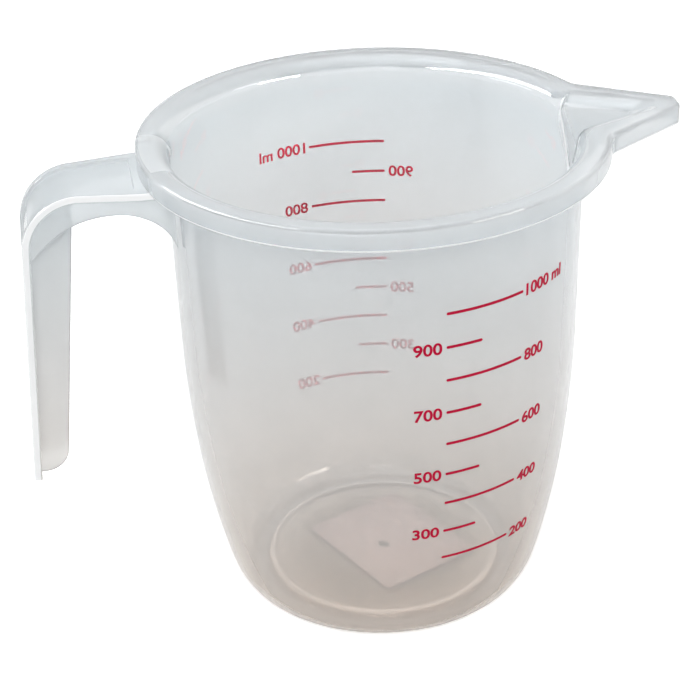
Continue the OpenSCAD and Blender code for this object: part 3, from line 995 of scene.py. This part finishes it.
def makeInk():
    m, shader = newMaterial("crimsonInk")
    tree = m.node_tree
    n, l = tree.nodes, tree.links
    specks = blotchMask(tree, inkLook["speckScale"], inkLook["speckContrast"])
    speckled = mixNode(tree, specks, inkLook["colour"], inkLook["worn"])
    # the side that sticks to the wall gets a lighter copy of the ink, painted light that stands in for the
    # light reaching it through the plastic
    shape, place = n.new("ShaderNodeNewGeometry"), n.new("ShaderNodeTexCoord")
    level, dot = n.new("ShaderNodeVectorMath"), n.new("ShaderNodeVectorMath")
    level.operation, dot.operation = "MULTIPLY", "DOT_PRODUCT"
    level.inputs[1].default_value = (1, 1, 0)
    l.new(place.outputs["Object"], level.inputs[0])
    l.new(level.outputs[0], dot.inputs[0])
    l.new(shape.outputs["True Normal"], dot.inputs[1])
    inward = mathNode(tree, "LESS_THAN", dot.outputs["Value"], 0.0)
    l.new(mixNode(tree, inward, speckled, inkLook["back"]), shader.inputs["Base Color"])
    mottle(tree, shader, "Roughness", inkLook["rough"], inkLook["speckScale"])
    shader.inputs["Specular IOR Level"].default_value = inkLook["gloss"]
    return m


def makePaper():
    m, shader = newMaterial("labelPaper")
    tree, p = m.node_tree, paperLook
    mottle(tree, shader, "Base Color", (p["colour"], p["shade"]), p["shadeScale"])
    shader.inputs["Roughness"].default_value = p["rough"]
    fineBump(tree, shader, p["fibreScale"], p["fibreStrength"], p["fibreDepth"])
    return m


def dress(obj, material):
    obj.data.materials.clear()
    obj.data.materials.append(material)


for name, (clear, lift) in plastic["skins"].items():
    makePlastic(name, clear, lift)
makeEdge()
inkMaterial, paperMaterial = makeInk(), makePaper()
for piece in printed:
    dress(piece, inkMaterial)
dress(paperLabel, paperMaterial)
print("materials done")

studio = {
    # under is the darker ground colour beneath the jug, a painted shadow
    "floor": (0.9, 0.9, 0.9, 1), "under": (0.62, 0.58, 0.53, 1), "floorSize": 6,
    "glow": 0.25, "cameraGlow": 0.25, "worldStrength": 0.5,
    "shade": (0.022, 0.04),   # m: painted shadow, where the glow fades out and the ground darkens towards the middle, where the jug stands on it
    "aim": (0, 0, 0.07),   # m: where the lamps point
}
# a lamp is not seen by the rays named in its hidden
lamps = {
    "keySoftbox": {"at": (-0.3, -1.26, 1.15), "size": (0.66, 0.7), "power": 9.5, "colour": (1, 0.99, 0.97),
                   "hidden": ("glossy",)},
    "topSoftbox": {"at": (-0.1, 0.1, 1.4), "size": (1.0, 0.8), "power": 5.0, "colour": (0.93, 0.97, 1)},
    "leftSoftbox": {"at": (-1.3, 0.2, 0.9), "size": (0.8, 0.8), "power": 4.5, "colour": (0.95, 0.98, 1)},
    "fillSoftbox": {"at": (1.1, -0.5, 0.8), "size": (0.6, 0.6), "power": 2.2, "colour": (1, 1, 1)},
    # a card that only shows in reflections, along the edges
    "leftCard": {"at": (-1.4, 0.0, 1.15), "size": (2.8, 0.35), "power": 80.0, "colour": (1, 1, 1),
                 "hidden": ("diffuse", "transmission", "volume_scatter")},
    # this one also reaches the heel through the wall
    "heelCard": {"at": (0.89, -0.86, 0.47), "size": (0.6, 0.18), "power": 14.0, "colour": (1, 0.97, 0.9),
                 "hidden": ("diffuse", "volume_scatter")},
}


def makeFloor():
    bpy.ops.mesh.primitive_plane_add(size=studio["floorSize"], location=(0, 0, 0))
    floor = bpy.context.object
    floor.name = "studioFloor"
    m = bpy.data.materials.new("studioWhite")
    m.use_nodes = True
    tree = m.node_tree
    n, l = tree.nodes, tree.links
    n.clear()
    path, total, out = (n.new("ShaderNode" + k) for k in ("LightPath", "AddShader", "OutputMaterial"))
    matt, glow = n.new("ShaderNodeBsdfDiffuse"), n.new("ShaderNodeEmission")
    # the ground shows white to the camera, in reflections and through the plastic
    highest = None
    for ray, strength in (("Is Camera Ray", studio["glow"] + studio["cameraGlow"]),
                          ("Is Glossy Ray", studio["glow"]), ("Is Transmission Ray", studio["glow"])):
        scaled = mathNode(tree, "MULTIPLY", path.outputs[ray], strength)
        highest = scaled if highest is None else mathNode(tree, "MAXIMUM", highest, scaled)
    place, reach, fade = (n.new("ShaderNode" + k) for k in ("NewGeometry", "VectorMath", "MapRange"))
    reach.operation, fade.interpolation_type = "LENGTH", "SMOOTHSTEP"
    fade.inputs["From Min"].default_value, fade.inputs["From Max"].default_value = studio["shade"]
    l.new(place.outputs["Position"], reach.inputs[0])
    l.new(reach.outputs["Value"], fade.inputs["Value"])
    l.new(mathNode(tree, "MULTIPLY", highest, fade.outputs["Result"]), glow.inputs["Strength"])
    # the ground darkens to the under colour beneath the jug: painted shadow
    ground = mixNode(tree, fade.outputs["Result"], studio["under"], studio["floor"])
    l.new(ground, matt.inputs["Color"])
    l.new(matt.outputs[0], total.inputs[0])
    l.new(glow.outputs[0], total.inputs[1])
    l.new(total.outputs[0], out.inputs["Surface"])
    dress(floor, m)


def makeWorld():
    # white to the camera, in reflections and through the plastic, and dimmer as a light
    world = bpy.data.worlds.new("studioWorld")
    bpy.context.scene.world = world
    world.use_nodes = True
    tree = world.node_tree
    n, l = tree.nodes, tree.links
    n.clear()
    path, level = n.new("ShaderNodeLightPath"), n.new("ShaderNodeMapRange")
    back, out = n.new("ShaderNodeBackground"), n.new("ShaderNodeOutputWorld")
    level.inputs["To Min"].default_value = studio["worldStrength"]
    level.inputs["To Max"].default_value = 1.0
    direct, clear, glossy = (path.outputs[f"Is {ray} Ray"] for ray in ("Camera", "Transmission", "Glossy"))
    seen = mathNode(tree, "ADD", direct, clear, clamp=True)
    l.new(mathNode(tree, "ADD", seen, glossy, clamp=True), level.inputs["Value"])
    l.new(level.outputs["Result"], back.inputs["Strength"])
    l.new(back.outputs[0], out.inputs["Surface"])


def makeLamps():
    # soft lamps and cards, all aimed at the jug
    for name, s in lamps.items():
        data = bpy.data.lights.new(name, "AREA")
        data.shape, data.size, data.size_y = "RECTANGLE", *s["size"]
        data.energy, data.color = s["power"], s["colour"]
        lamp = bpy.data.objects.new(name, data)
        lamp.location = s["at"]
        for ray in s.get("hidden", ()):
            setattr(lamp, "visible_" + ray, False)
        aim = Vector(studio["aim"]) - Vector(s["at"])
        lamp.rotation_mode = "QUATERNION"
        lamp.rotation_quaternion = aim.to_track_quat("-Z", "Y")
        bpy.context.scene.collection.objects.link(lamp)


makeFloor()
makeWorld()
makeLamps()
bpy.context.scene.view_settings.view_transform = "Standard"
print("studio ready")
